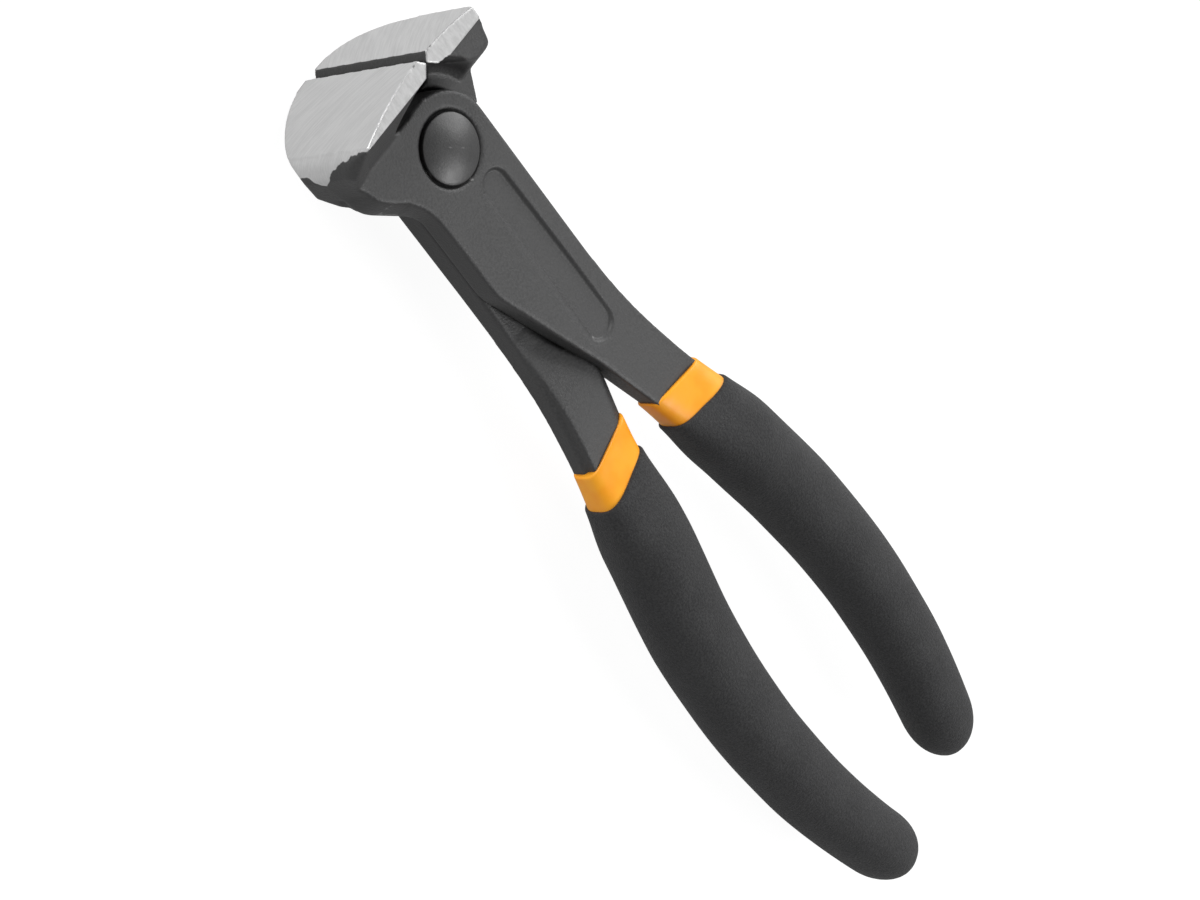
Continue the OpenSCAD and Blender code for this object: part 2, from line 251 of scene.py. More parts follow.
# The ragged lower edge of the bare side: its height above the rivet from the jaw's far end to its near
# end, the heights that the curve's 0 and 1 stand for, and how far and how coarsely it wanders
RAGGED_EDGE = ((-16.45, 16.8), (-12.0, 15.6), (-8.1, 14.3), (-4.6, 14.8), (-2.9, 14.6), (-1.2, 13.2),
               (0.4, 12.3), (2.4, 13.2), (4.3, 14.9), (8.7, 16.4), (12.0, 16.9), (15.55, 17.2))
EDGE_FLOOR, EDGE_RUN = 10.0, 10.0
WANDER, WANDER_SIZE = 0.3, 2.0


def ground_zone_group():
    """Where a half is ground bare: its end face with the side that it wraps onto, and its bright flats; and
    the cutting groove between the crowns, where shade and a dark reflection are painted.
    """
    group, start, end = new_group(
        "ground_zone",
        [("Position", "vector", None), ("Span", "value", FRONT_SPAN)],
        [("Ground", "value"), ("Strip", "value"), ("Gap", "value")])
    split = add(group, "ShaderNodeSeparateXYZ")
    group.links.new(start.outputs["Position"], split.inputs[0])
    x, height, z = split.outputs
    # Height with the lean of the ground end taken out
    from_near = math_node(group, "SUBTRACT", NEAR_END, z)
    y = math_node(group, "ADD", height, math_node(group, "MULTIPLY", from_near, LEAN))
    across = math_node(group, "MULTIPLY", x, x)
    rise = math_node(group, "SQRT", math_node(group, "SUBTRACT", CROWN_R * CROWN_R, across))
    depth = math_node(group, "SUBTRACT", math_node(group, "ADD", rise, HEAD_REACH - CROWN_R), y)
    face = ramp(group, depth, *BARREL_DEPTH)
    # The side is bare down to an edge that runs low in the middle of the jaw and high at its ends
    curve = add(group, "ShaderNodeFloatCurve")
    points = curve.mapping.curves[0].points
    spots = [((place - FAR_END) / (NEAR_END - FAR_END), (top - EDGE_FLOOR) / EDGE_RUN)
             for place, top in RAGGED_EDGE]
    points[0].location, points[-1].location = spots[0], spots[-1]
    for spot in spots[1:-1]:
        points.new(*spot)
    curve.mapping.update()
    feed(group, curve.inputs["Value"], ramp(group, z, FAR_END, NEAR_END, smooth=False))
    edge = math_node(group, "MULTIPLY", curve.outputs[0], EDGE_RUN)
    edge = math_node(group, "ADD", edge, EDGE_FLOOR)
    ragged = noise_node(group, start.outputs["Position"], WANDER_SIZE, detail=1.5)
    edge = math_node(group, "ADD", edge, ramp(group, ragged, *WIDE_SPREAD, -WANDER, WANDER, smooth=False))
    above = math_node(group, "SUBTRACT", y, edge)
    outer = math_node(group, "SUBTRACT", math_node(group, "MULTIPLY", x, -1.0), start.outputs["Span"])
    side = math_node(group, "MULTIPLY", ramp(group, above, *SIDE_EDGE), ramp(group, outer, *SIDE_REACH))
    # Bright flats at the two ends
    near = ramp(group, from_near, *FLAT_DEPTH)
    far = ramp(group, math_node(group, "SUBTRACT", z, FAR_END), *FLAT_DEPTH)
    strip = math_node(group, "MULTIPLY", math_node(group, "MAXIMUM", near, far), ramp(group, y, *FLAT_FOOT))
    # Cutting groove between the two crowns, painted dark as shade and a dark reflection
    inner = math_node(group, "ABSOLUTE", x)
    groove_shade = math_node(group, "MULTIPLY", ramp(group, inner, *GROOVE_HALF), ramp(group, y, *GROOVE_FOOT))
    groove_shade = math_node(group, "MULTIPLY", groove_shade, math_node(group, "SUBTRACT", 1.0, strip))
    put_out(group, end, Ground=math_node(group, "MAXIMUM", face, side, clamp=True), Strip=strip, Gap=groove_shade)
    return group


# Rays that the bevel and the painted crevice shade cast
EDGE_RAYS = 6
# Where each mask of the wear with its painted edge highlight, and of the painted shade, starts and where it is
# full
WEAR_HIGHLIGHT_POINTINESS = (-0.012, 0.025)     # above the finish's own limit for a convex edge
# Painted shade in concave hollows, read from pointiness
SHADE_POINTINESS = (0.48, 0.44)
CREVICE_LIGHT = (0.88, 0.5)             # share of the light that reaches in


def scuff_and_shade_group():
    """Where handling rubs: worn edges, lightened also as a painted edge highlight; painted shade that darkens
    hollows and crevices; and a rounded normal.
    """
    group, start, end = new_group(
        "scuffed_edges_painted_shade_highlight",
        [("Position", "vector", None), ("Radius", "value", 0.4 * MM), ("Convex", "value", 0.54),
         ("Chip Size", "value", 0.9), ("Crevice", "value", 1.6 * MM)],
        [("Wear", "value"), ("Hollow", "value"), ("Normal", "vector")])
    rounded = add(group, "ShaderNodeBevel", samples=EDGE_RAYS)
    group.links.new(start.outputs["Radius"], rounded.inputs["Radius"])
    pointed = add(group, "ShaderNodeNewGeometry").outputs["Pointiness"]
    # Worn edges on convex ridges, broken by chips, and lightened also as a painted edge highlight
    convex = math_node(group, "SUBTRACT", pointed, start.outputs["Convex"])
    chips = noise_node(group, start.outputs["Position"], start.outputs["Chip Size"], detail=3.0)
    wear_highlight = math_node(group, "MULTIPLY", ramp(group, convex, *WEAR_HIGHLIGHT_POINTINESS),
                     ramp(group, chips, *CHIP_SPREAD))
    # Painted shade: ambient occlusion darkens the crevices within and between parts
    crevice_shade = add(group, "ShaderNodeAmbientOcclusion", samples=EDGE_RAYS)
    group.links.new(start.outputs["Crevice"], crevice_shade.inputs["Distance"])
    painted_shade = math_node(group, "MAXIMUM", ramp(group, pointed, *SHADE_POINTINESS),
                       ramp(group, crevice_shade.outputs["AO"], *CREVICE_LIGHT))
    put_out(group, end, Wear=wear_highlight, Hollow=painted_shade, Normal=rounded.outputs[0])
    return group


def about_rivet(tree, turned):
    """Position about the rivet axis in millimetres, with the jaw at -X for either half."""
    where = add(tree, "ShaderNodeTexCoord")
    moved = add(tree, "ShaderNodeVectorMath", operation="SUBTRACT")
    tree.links.new(where.outputs["Object"], moved.inputs[0])
    moved.inputs[1].default_value = PIVOT
    scaled = add(tree, "ShaderNodeVectorMath", operation="MULTIPLY")
    tree.links.new(moved.outputs[0], scaled.inputs[0])
    scaled.inputs[1].default_value = Vector((side_of(turned), 1.0, 1.0)) / MM
    return scaled.outputs[0]


# ---------------------------------------------------------------------------
# Finishes
# ---------------------------------------------------------------------------

def grey(level):
    return level, level, level


# A pair is the darkest and the palest that the grain or the marks make it
OXIDE = (0.030, 0.030, 0.0305), (0.050, 0.050, 0.0505)
OXIDE_PATCH = (0.045, 0.045, 0.0455)
# Painted shade for the oxide's hollows and crevices, and a worn-edge grey that is also a painted edge
# highlight
OXIDE_PAINTED_SHADE, OXIDE_WEAR_HIGHLIGHT = grey(0.008), grey(0.20)
GROUND_STEEL, GROUND_CLOUD = (grey(0.68), grey(0.80)), grey(0.82)
BRIGHT_FLAT = grey(0.44), grey(0.52)
# Painted shade and dark reflection in the cutting groove
GROOVE_PAINTED_SHADE = grey(0.035)
OXIDE_ROUGH, STEEL_ROUGH, STEEL_METAL = (0.44, 0.56), (0.40, 0.50), 0.75
# Way that the jaws were ground, as an angle about Y
GRIND_TURN = 0.62

# The rivet's rim grey is wear and a painted edge highlight
RIVET_BLACK, RIVET_WEAR_HIGHLIGHT = ((0.034, 0.034, 0.0345), (0.050, 0.050, 0.0505)), grey(0.16)
RIVET_ROUGH = (0.35, 0.43)

GRIP_BLACK, GRIP_SAND = ((0.012, 0.012, 0.013), (0.034, 0.034, 0.035)), (0.040, 0.040, 0.041)
GRIP_ROUGH = (0.66, 0.76)

# Painted shade that darkens the orange against the collar's rims
COLLAR_ORANGE, COLLAR_PAINTED_SHADE = ((0.98, 0.36, 0.012), (1.0, 0.41, 0.020)), (0.10, 0.03, 0.003)
COLLAR_ROUGH = (0.34, 0.42)


def forged_material(name, groups, turned, span):
    """Black oxide on the forging, with bare ground steel on the jaw."""
    material, tree, surface = new_material(name)
    at = about_rivet(tree, turned)
    grain = place_group(tree, groups["grain"], Position=at, Grain_Size=0.5, Patch_Size=7.0)
    coarse = place_group(tree, groups["grain"], Position=at, Grain_Size=1.8, Patch_Size=16.0)
    marks = place_group(tree, groups["brushed"], Position=at, Turn=GRIND_TURN, Stretch=(0.035, 0.2, 1.0),
                        Mark_Width=0.3)
    cloud = place_group(tree, groups["brushed"], Position=at, Turn=GRIND_TURN, Stretch=(0.25, 0.2, 1.0),
                        Mark_Width=5.0)
    zone = place_group(tree, groups["ground"], Position=at, Span=span)
    scuff_and_shade = place_group(tree, groups["scuff_shade"], Position=at, Radius=0.4 * MM, Convex=0.54, Chip_Size=0.9)
    # Painted shade in the cutting groove between the crowns
    groove = zone.outputs["Gap"]

    oxide = mix_colour(tree, grain.outputs["Tone"], *OXIDE)
    oxide = coat(tree, oxide, OXIDE_PATCH, coarse.outputs["Patch"], share=0.5)
    # Painted shade in hollows and crevices, then worn edges lightened also as a painted edge highlight
    oxide = coat(tree, oxide, OXIDE_PAINTED_SHADE, scuff_and_shade.outputs["Hollow"], share=0.8)
    oxide = coat(tree, oxide, OXIDE_WEAR_HIGHLIGHT, scuff_and_shade.outputs["Wear"], share=0.7)
    bare = mix_colour(tree, marks.outputs["Tone"], *GROUND_STEEL)
    bare = coat(tree, bare, GROUND_CLOUD, cloud.outputs["Tone"], share=0.25)
    bare = mix_colour(tree, zone.outputs["Strip"], bare, mix_colour(tree, marks.outputs["Tone"], *BRIGHT_FLAT))
    ground = math_node(tree, "MAXIMUM", zone.outputs["Ground"], zone.outputs["Strip"], clamp=True)
    # The groove's painted shade goes over oxide and bare steel alike, and takes the shine off there
    colour = mix_colour(tree, groove, mix_colour(tree, ground, oxide, bare), GROOVE_PAINTED_SHADE)

    shine = math_node(tree, "MULTIPLY", ground, math_node(tree, "SUBTRACT", 1.0, groove))
    tree.links.new(mix_value(tree, shine, 0.0, STEEL_METAL), surface.inputs["Metallic"])
    rough = mix_value(tree, shine, mix_value(tree, grain.outputs["Tone"], *OXIDE_ROUGH),
                      mix_value(tree, marks.outputs["Tone"], *STEEL_ROUGH))
    # The marks are half as deep as the grain, and the oxide stands a little above the ground steel
    shallow = math_node(tree, "MULTIPLY", marks.outputs["Height"], 0.5)
    skin = mix_value(tree, ground, grain.outputs["Height"], shallow)
    normal = bump(tree, skin, distance_mm=0.06, strength=0.5, onto=scuff_and_shade.outputs["Normal"])
    normal = bump(tree, math_node(tree, "SUBTRACT", 1.0, ground), distance_mm=0.15, strength=0.6, onto=normal)
    finish_surface(tree, surface, colour, rough, normal, specular=0.55)
    return material


def rivet_material(groups):
    """Satin black of the rivet, its rim lightened a little by wear and a painted edge highlight, with painted
    shade in its hollows.
    """
    material, tree, surface = new_material("rivet_black")
    at = about_rivet(tree, False)
    grain = place_group(tree, groups["grain"], Position=at, Grain_Size=0.35, Patch_Size=4.0)
    scuff_and_shade = place_group(tree, groups["scuff_shade"], Position=at, Radius=0.3 * MM, Convex=0.56, Chip_Size=0.7)
    colour = mix_colour(tree, grain.outputs["Tone"], *RIVET_BLACK)
    # Painted shade in the seat and hollows, then the rim lightened by wear and a painted edge highlight
    colour = coat(tree, colour, OXIDE_PAINTED_SHADE, scuff_and_shade.outputs["Hollow"], share=0.8)
    colour = coat(tree, colour, RIVET_WEAR_HIGHLIGHT, scuff_and_shade.outputs["Wear"], share=0.6)
    rough = mix_value(tree, grain.outputs["Patch"], *RIVET_ROUGH)
    normal = bump(tree, grain.outputs["Height"], distance_mm=0.03, strength=0.35)
    finish_surface(tree, surface, colour, rough, normal, specular=0.6)
    return material


def grip_material(groups, turned):
    """Black vinyl of the second dip: soft, matt and sandy."""
    material, tree, surface = new_material("rear_grip_black" if turned else "front_grip_black")
    at = about_rivet(tree, turned)
    sand = place_group(tree, groups["grain"], Position=at, Grain_Size=0.42, Patch_Size=9.0)
    fine = place_group(tree, groups["grain"], Position=at, Grain_Size=0.16, Patch_Size=2.0)
    colour = mix_colour(tree, sand.outputs["Tone"], *GRIP_BLACK)
    colour = coat(tree, colour, GRIP_SAND, fine.outputs["Tone"], share=0.5)
    rough = mix_value(tree, sand.outputs["Patch"], *GRIP_ROUGH)
    normal = bump(tree, sand.outputs["Height"], distance_mm=0.11, strength=0.8)
    normal = bump(tree, fine.outputs["Height"], distance_mm=0.04, strength=0.5, onto=normal)
    finish_surface(tree, surface, colour, rough, normal, specular=0.35)
    surface.inputs["Sheen Weight"].default_value = 0.08
    surface.inputs["Sheen Roughness"].default_value = 0.5
    return material


def collar_material(groups, turned):
    """Orange vinyl of the first dip, half glossy, a little deeper in patches, and with painted shade dark
    against its rims.
    """
    material, tree, surface = new_material("rear_collar_orange" if turned else "front_collar_orange")
    at = about_rivet(tree, turned)
    skin = place_group(tree, groups["grain"], Position=at, Grain_Size=1.4, Patch_Size=5.0)
    scuff_and_shade = place_group(tree, groups["scuff_shade"], Position=at, Radius=0.2 * MM, Convex=0.6, Chip_Size=0.9,
                         Crevice=1.2 * MM)
    colour = mix_colour(tree, skin.outputs["Patch"], *COLLAR_ORANGE)
    # Painted shade in the crevices at the collar's rims
    colour = coat(tree, colour, COLLAR_PAINTED_SHADE, scuff_and_shade.outputs["Hollow"], share=0.9)
    rough = mix_value(tree, skin.outputs["Tone"], *COLLAR_ROUGH)
    normal = bump(tree, skin.outputs["Height"], distance_mm=0.04, strength=0.3)
    finish_surface(tree, surface, colour, rough, normal, specular=0.4)
    return material


# ---------------------------------------------------------------------------
# Shared shaping
# ---------------------------------------------------------------------------

def side_of(turned):
    """Sign that turns a half's own X and Z into the shared frame's."""
    return -1.0 if turned else 1.0


def own_frame(turned):
    """Matrix from the shared frame in metres to a half's own frame in millimetres."""
    side = side_of(turned)
    return Matrix.Diagonal((side / MM, 1.0 / MM, side / MM, 1.0)) @ Matrix.Translation(-PIVOT)


def ease(t):
    """Smooth step from 0 to 1, held outside."""
    t = min(max(t, 0.0), 1.0)
    return t * t * (3 - 2 * t)


def climb(values, low, high):
    """Smooth step from 0 at low to 1 at high, for arrays."""
    t = np.clip((values - low) / (high - low), 0.0, 1.0)
    return t * t * (3 - 2 * t)


def place_mesh(name, mesh):
    """Object for a mesh, shaded smooth, in the scene."""
    mesh.polygons.foreach_set("use_smooth", [True] * len(mesh.polygons))
    piece = bpy.data.objects.new(name, mesh)
    bpy.context.scene.collection.objects.link(piece)
    return piece


def ring_mesh(name, rings):
    """Closed mesh through rings of points, from a tip of one point to another, its faces outwards."""
    mesh = bpy.data.meshes.new(name)
    work = bmesh.new()
    loops = [[work.verts.new(p) for p in ring] for ring in rings]
    for a, b in zip(loops, loops[1:]):
        count = max(len(a), len(b))
        for i in range(count):
            k = (i + 1) % count
            if len(a) == 1:
                work.faces.new((a[0], b[k], b[i]))
            elif len(b) == 1:
                work.faces.new((a[i], a[k], b[0]))
            else:
                work.faces.new((a[i], a[k], b[k], b[i]))
    bmesh.ops.recalc_face_normals(work, faces=work.faces)
    work.to_mesh(mesh)
    work.free()
    return mesh


# ---------------------------------------------------------------------------
# Forged halves
# ---------------------------------------------------------------------------

# Where the tang ends inside its handle, from the collar's start, and the grid of the even skin
TANG_STOP, SKIN_GRID = 12.0, 0.27
# How near two points are to be welded, and a point to the cut to lie on it
WELD, ON_CUT = 0.002, 0.0005
# Farthest X at which the barrel is worked out
BARREL_LIMIT = 40.0


def forged_shell(name, node, turned, handle):
    """A half as it leaves the forge: soft edges and a crisp ground end."""
    piece = NODES[node].copy()
    piece.data = NODES[node].data.copy()
    piece.name = name
    for key in list(piece.keys()):
        del piece[key]
    bpy.context.scene.collection.objects.link(piece)
    to_own = own_frame(turned)
    work = bmesh.new()
    work.from_mesh(piece.data)
    work.transform(to_own)
    bmesh.ops.remove_doubles(work, verts=work.verts, dist=WELD)
    # The tang goes on a short way into its handle, where nothing shows it
    x0, y0 = handle.middle(TANG_STOP)
    ahead = Vector((math.sin(handle.splay), -math.cos(handle.splay), 0.0))
    bmesh.ops.bisect_plane(work, geom=work.verts[:] + work.edges[:] + work.faces[:], dist=ON_CUT,
                           plane_co=(x0, y0, 0.0), plane_no=ahead, clear_outer=True)
    rim = [e for e in work.edges if len(e.link_faces) == 1]
    bmesh.ops.holes_fill(work, edges=rim, sides=0)
    bmesh.ops.triangulate(work, faces=[f for f in work.faces if len(f.verts) > 4])
    work.to_mesh(piece.data)
    work.free()

    remesh = piece.modifiers.new("even_skin", "REMESH")
    remesh.mode = "VOXEL"
    remesh.voxel_size = SKIN_GRID
    remesh.adaptivity = 0.0
    depsgraph = bpy.context.evaluated_depsgraph_get()
    skin = bpy.data.meshes.new_from_object(piece.evaluated_get(depsgraph))
    piece.modifiers.clear()
    piece.data = skin

    work = bmesh.new()
    work.from_mesh(skin)
    soften(work, turned, handle.splay)
    work.transform(to_own.inverted())
    work.to_mesh(skin)
    work.free()
    skin.materials.clear()
    skin.polygons.foreach_set("use_smooth", [True] * len(skin.polygons))
    return piece


def barrel_height(x):
    """Height above the rivet, at the jaws' near end, of the barrel that both ends are ground to."""
    return HEAD_REACH - CROWN_R + np.sqrt(CROWN_R ** 2 - np.clip(x, -BARREL_LIMIT, BARREL_LIMIT) ** 2)


def relax(at, pairs, links, free, steps):
    """Draws each point half way towards the middle of its neighbours, as far as it is free."""
    for _ in range(steps):
        mean = np.zeros_like(at)
        np.add.at(mean, pairs[:, 0], at[pairs[:, 1]])
        np.add.at(mean, pairs[:, 1], at[pairs[:, 0]])
        at += 0.5 * free * (mean / links - at)


def soften(work, turned, splay):
    """Rounds the forged edges, shapes what the hammer shaped, and leaves the ground edges sharp."""
    # Below the barrel: where the softening starts and the run to its full share
    crisp, fade, soft_steps = 0.7, 1.0, 9
    # The bright flats: how far inside the jaws' ends and above what heights they stay true
    end_band, flat_foot, true_foot = 0.8, 15.0, 14.5
    # How near a point is to a ground face to be put back onto it, and the groove that stays as it is
    snap, groove = 0.2, 1.3
    panel_steps = 2

    side = side_of(turned)
    at = np.array([v.co[:] for v in work.verts])
    pairs = np.array([(e.verts[0].index, e.verts[1].index) for e in work.edges])
    links = np.bincount(pairs.ravel(), minlength=len(at)).astype(float)[:, None]
    along = at[:, 2] * side
    drop = LEAN * (NEAR_END - along)
    level = at[:, 1] + drop
    free = np.clip((barrel_height(at[:, 0]) - level - crisp) / fade, 0.0, 1.0)
    ends = (level > flat_foot) & ((along > NEAR_END - end_band) | (along < FAR_END + end_band))
    relax(at, pairs, links, np.where(ends, 0.0, free)[:, None], soft_steps)
    if turned:
        round_ear(at, pairs, links)
    # Ground faces are true: their points go back onto the barrel and the two end planes
    ground = barrel_height(at[:, 0]) - drop
    on_barrel = (abs(ground - at[:, 1]) < snap) & (abs(at[:, 0]) > groove)
    at[:, 1] = np.where(on_barrel, ground, at[:, 1])
    for end in (NEAR_END, FAR_END):
        close = (abs(along - end) < snap) & (level > true_foot)
        at[:, 2] = np.where(close, end * side, at[:, 2])
    if not turned:
        relax(at, pairs, links, press_panel(at), panel_steps)
        draft_shoulder(at)
    draw_down_neck(at, splay, side)
    for vert, co in zip(work.verts, at):
        vert.co = co


def round_ear(at, pairs, links):
    """The rear jaw's outer corner, hammered round under its ground end."""
    ear_x, ear_y, spread = -14.0, 11.3, 12.0
    ground_foot, fade, steps = 15.4, 1.5, 60
    hold = np.exp(-((at[:, 0] - ear_x) ** 2 + (at[:, 1] - ear_y) ** 2) / spread)
    hold = (hold * np.clip((ground_foot - at[:, 1]) / fade, 0.0, 1.0) * (at[:, 2] < 0.0))[:, None]
    relax(at, pairs, links, hold, steps)


def press_panel(at):
    """Sunk panel's rim and floor, pressed crisply into the arm's outer face. Gives the points to ease."""
    top, foot, radius = np.array((3.0, -11.6)), np.array((3.7, -45.4)), 3.1
    rim_high, rim_out, rim_wide = 0.12, 0.35, 0.3
    floor_deep, wall_foot, wall_top = 0.75, -0.35, 0.05
    face_from, reach_out, reach_in = 4.6, 1.2, -0.8
    line = foot - top
    share = np.clip(((at[:, :2] - top) @ line) / (line @ line), 0.0, 1.0)
    out = np.linalg.norm(at[:, :2] - top - share[:, None] * line, axis=1) - radius
    near = (at[:, 2] > face_from) & (out < reach_out)
    rim = rim_high * np.exp(-((out - rim_out) / rim_wide) ** 2)
    floor = floor_deep * (1 - climb(out, wall_foot, wall_top))
    at[:, 2] = np.where(near, PLATE + rim - floor, at[:, 2])
    return (near & (out > reach_in))[:, None]


def draft_shoulder(at):
    """The plate's side leans in from the parting line to its outer face, round the foot of the jaw."""
    foot_x, foot_y, fall = -12.0, 3.5, 1.3
    # How far it leans in, by the bearing in degrees and by the distance from the jaw's foot
    bearings, leans = (-60, -25, 10, 70, 105, 125), (0.0, 1.6, 2.6, 3.0, 1.5, 0.0)
    distances, shares = (0, 8, 10, 15), (0, 1, 1, 0)
    x, y = at[:, 0] - foot_x, at[:, 1] - foot_y
    # Never 0, because the lean is shared out by it
    far = np.hypot(x, y) + 1e-6
    lean = np.interp(np.degrees(np.arctan2(-y, -x)), bearings, leans)
    lean *= np.interp(far, distances, shares) * np.clip(at[:, 2] / PLATE, 0.0, 1.0) ** fall
    at[:, 0] -= lean * x / far
    at[:, 1] -= lean * y / far


def draw_down_neck(at, splay, side):
    """The arm grows wider than thick towards the collar, and keeps its upper face and right edge."""
    neck_from, widened, thinned = 25.0, 0.155, 0.38
    # The face that keeps its height: the upper one of either half
    face_mid, face_half = 1.0, 4.6
    # The arm's end goes on into the collar
    stretch, stretch_from, stretch_to = 3.9, 50.0, 63.5
    # The edge that keeps its place: the arm's own outline, read a millimetre at a time
    first, last, rows = 20, 63, 81
    below = -at[:, 1]
    share = climb(below, neck_from, Handle.collar_y)
    nowhere = -1e3
    outline = np.full(rows, nowhere)
    np.maximum.at(outline, np.clip(below.astype(int), 0, rows - 1), at[:, 0] * side)
    edge = np.interp(below, np.arange(first, last) + 0.5, side * outline[first:last])
    at[:, 0] += widened * share * (at[:, 0] - edge)
    at[:, 2] -= thinned * share * (at[:, 2] - face_mid - face_half * side)
    reach = stretch * climb(below, stretch_from, stretch_to)
    at[:, 0] += reach * math.sin(splay)
    at[:, 1] -= reach * math.cos(splay)


# ---------------------------------------------------------------------------
# Rivet
# ---------------------------------------------------------------------------

def rivet_lathe():
    """Rivet turned about its axis: a button head with a rolled rim, its shank, and the flatter head behind."""
    head, shank, seat, chamfer = 6.35, 4.0, 0.72, 0.15
    high, brim, roll, roll_lift = 1.58, 0.22, 0.2, 0.06
    # The head behind is narrower, and stands less proud of its plate
    back_wide, back_high = 0.92, 0.6
    # The cap's innermost rings are left out, so that no thin faces crowd its top
    sides, cap_rings, first_ring, roll_rings = 96, 24, 3, 5

    dome = high - brim
    ball = (head ** 2 + dome ** 2) / (2 * dome)
    profile = [(0.0, PLATE + high)]
    for i in range(first_ring, cap_rings + 1):
        r = (head - roll) * i / cap_rings
        profile.append((r, PLATE + high - ball + math.sqrt(ball ** 2 - r ** 2)))
    for i in range(1, roll_rings + 1):
        a = math.radians(90 * i / roll_rings)
        profile.append((head - roll + roll * math.sin(a), PLATE + brim + roll_lift - roll * (1 - math.cos(a))))
    profile += [(head, PLATE - seat + chamfer), (head - chamfer, PLATE - seat), (shank, PLATE - seat)]
    behind = [(r * back_wide, -min(z, PLATE) - back_high * max(z - PLATE, 0.0)) for r, z in profile[:-1]]
    outline = profile + [(shank, seat - PLATE)] + behind[::-1]
    place = own_frame(False).inverted()
    angles = [2 * math.pi * k / sides for k in range(sides)]
    rings = [[place @ Vector((r * math.cos(a), r * math.sin(a), z)) for a in (angles if r > 0.0 else (0.0,))]
             for r, z in outline]
    return place_mesh("pivot_rivet_turned", ring_mesh("pivot_rivet_turned", rings))


# ---------------------------------------------------------------------------
# Handles
# ---------------------------------------------------------------------------

def squarer(value, power):
    """A sine or cosine drawn towards the corners of a squarer section."""
    return math.copysign(abs(value) ** power, value)


class Handle:
    """A dipped handle: straight splay from the collar into the bow, in millimetres about the rivet."""

    # Start of the collar below the rivet, the middle line's X there, and the bare length of the collar
    collar_y, neck_mid, collar_l = 64.5, 9.233, 7.5
    # Middle line at the bow's widest, the bow's radius, and the height of its widest above the rear tail
    bow_x, bow_r, tail_l = 20.1, 156.0, 52.5
    # Half width of the outer skin, and the thickness of the second dip
    grip_r, skin_t = 8.6, 1.1
    # Rounded tip: its length, what its turn takes off the reach, and how full it is
    tip_l, tail_turn, tail_power = 10.5, 0.2, 2.2
    # Shares of the half width: at the collar across and through, and at the tail, with the taper's power
    collar_half, collar_flat, end_half, taper_power = 0.895, 0.6, 0.8, 1.5
    # Length over which the collar's section swells to the grip's, and the powers of the two sections
    swell_l, boxy, oval = 26.0, 3.8, 2.15
    # The collar sits off the grip's middle line, on the drawn-down arm, and the skin comes back to it
    off_x, off_z, off_z_side, settle_l = 0.8, 1.0, 1.75, 50.0
    # The rims' slant holds for a length and then runs out
    slant_hold, slant_run = 14.0, 30.0
    # Unevenness of the skin: how fine it is, and the share that brings the noise's spread of 2 down to 1
    wave, noise_share = 0.09, 0.5

    def __init__(self, reach, turned, dip_at, dip_slant):
        self.turned, self.dip_at, self.dip_slant = turned, dip_at, dip_slant
        bow_y = REAR_REACH - self.tail_l
        self.centre = (self.bow_x - self.bow_r, -bow_y)
        away = (self.centre[0] - self.neck_mid, self.centre[1] + self.collar_y)
        far = math.hypot(*away)
        self.splay = math.asin(self.bow_r / far) + math.atan2(away[0], -away[1])
        self.splay_l = math.sqrt(far * far - self.bow_r * self.bow_r)
        self.length = self.splay_l + self.bow_r * (
            self.splay + math.asin((reach - self.tail_turn - bow_y) / self.bow_r))

    def heading(self, s):
        """Angle of the middle line at s, its length from the collar's start."""
        return self.splay if s < self.splay_l else self.splay - (s - self.splay_l) / self.bow_r

    def middle(self, s):
        h = self.heading(s)
        x = self.centre[0] + self.bow_r * math.cos(h)
        y = self.centre[1] + self.bow_r * math.sin(h)
        if s < self.splay_l:
            back = self.splay_l - s
            x -= back * math.sin(self.splay)
            y += back * math.cos(self.splay)
        return x, y

    def half_width(self, s):
        if s < self.swell_l:
            return self.grip_r * (self.collar_half + (1 - self.collar_half) * ease(s / self.swell_l))
        gone = (s - self.swell_l) / (self.length - self.swell_l)
        return self.grip_r * (1 - (1 - self.end_half) * gone ** self.taper_power)

    def point(self, s, a, depth, waver):
        """Point of the skin at s and angle a, a depth inside the outer skin, in the half's own frame."""
        x0, y0 = self.middle(s)
        k = ease(s / self.swell_l)
        power = 2 / (self.boxy + (self.oval - self.boxy) * k)
        h = self.heading(s)
        u = min(max((s - self.length + self.tip_l) / (self.tip_l - depth), 0.0), 1.0)
        close = math.sqrt(max(1 - u ** self.tail_power, 0.0))
        wide = (self.half_width(s) - depth) * close
        thick = (self.half_width(s) * (self.collar_flat + (1 - self.collar_flat) * k) - depth) * close
        side = side_of(self.turned)
        x0 -= self.off_x * side * (1 - k)
        z0 = (self.off_z + self.off_z_side * side) * (1 - ease(s / self.settle_l))
        x = wide * squarer(math.cos(a), power)
        z = thick * squarer(math.sin(a), power)
        p = Vector((x0 + x * math.cos(h), y0 + x * math.sin(h), z0 + z))
        if waver:
            # It only ever draws the skin in, so that the handle keeps inside its outline
            out = Vector((math.cos(a) * math.cos(h), math.cos(a) * math.sin(h), math.sin(a)))
            p += out * (self.noise_share * waver * close * (noise.noise(p * self.wave) - 1.0))
        return p

    def ring(self, s, depth, sides, waver=0.0):
        """Closed ring of points about s. Near the collar it lies aslant, as the dip left it."""
        level = self.half_width(s) * math.tan(self.splay) + self.dip_slant
        level *= 1 - ease((s - self.slant_hold) / self.slant_run)
        out_of_own = own_frame(self.turned).inverted()
        points = []
        for i in range(sides):
            a = 2 * math.pi * i / sides
            across = squarer(math.cos(a), 2 / self.boxy)
            points.append(out_of_own @ self.point(s + level * across, a, depth, waver))
        return points


